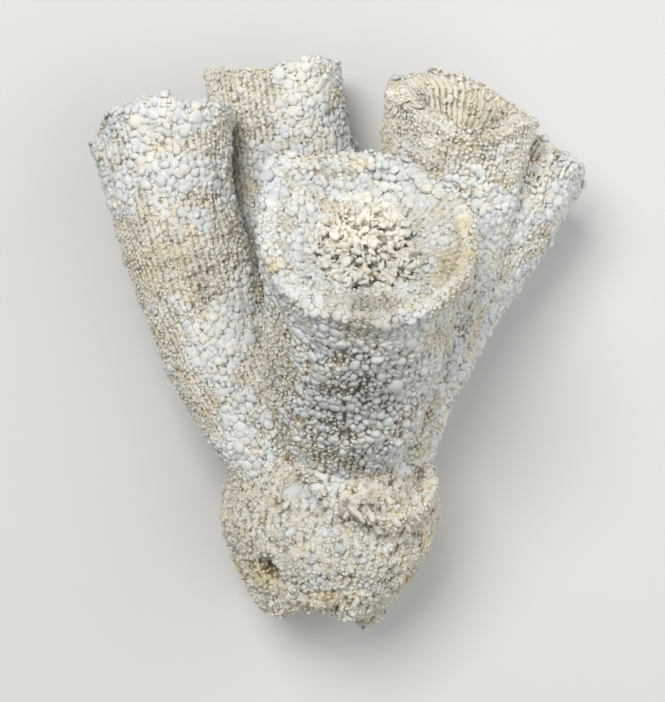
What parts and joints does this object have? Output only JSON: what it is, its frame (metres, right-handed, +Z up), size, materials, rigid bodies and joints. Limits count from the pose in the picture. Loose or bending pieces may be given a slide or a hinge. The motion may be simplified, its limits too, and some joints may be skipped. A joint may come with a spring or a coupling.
{
  "type": "fossil coral head",
  "caption": "Fossil head of branching coral lying on its back: trumpet-shaped corallites with open cups spread from one short broken stem.",
  "frame": {"origin": "on the table, under the middle of the lying head's bounding box", "axes": "+Y from the broken end of the stem towards the mouths, +Z up, +X to the right as seen from above with +Y up the page"},
  "size_m": [0.1286, 0.1508, 0.0973],
  "materials": {
    "bare_wall": "dry, grainy, tan",
    "crusted_wall": "dry, knobbly, grey-white on tan"
  },
  "bodies": {
    "root": {"stem": "bare_wall", "front_corallite": "crusted_wall", "left_corallite": "crusted_wall", "right_corallite": "crusted_wall", "back_corallite": "crusted_wall", "side_corallite": "crusted_wall"}
  },
  "joints": []
}
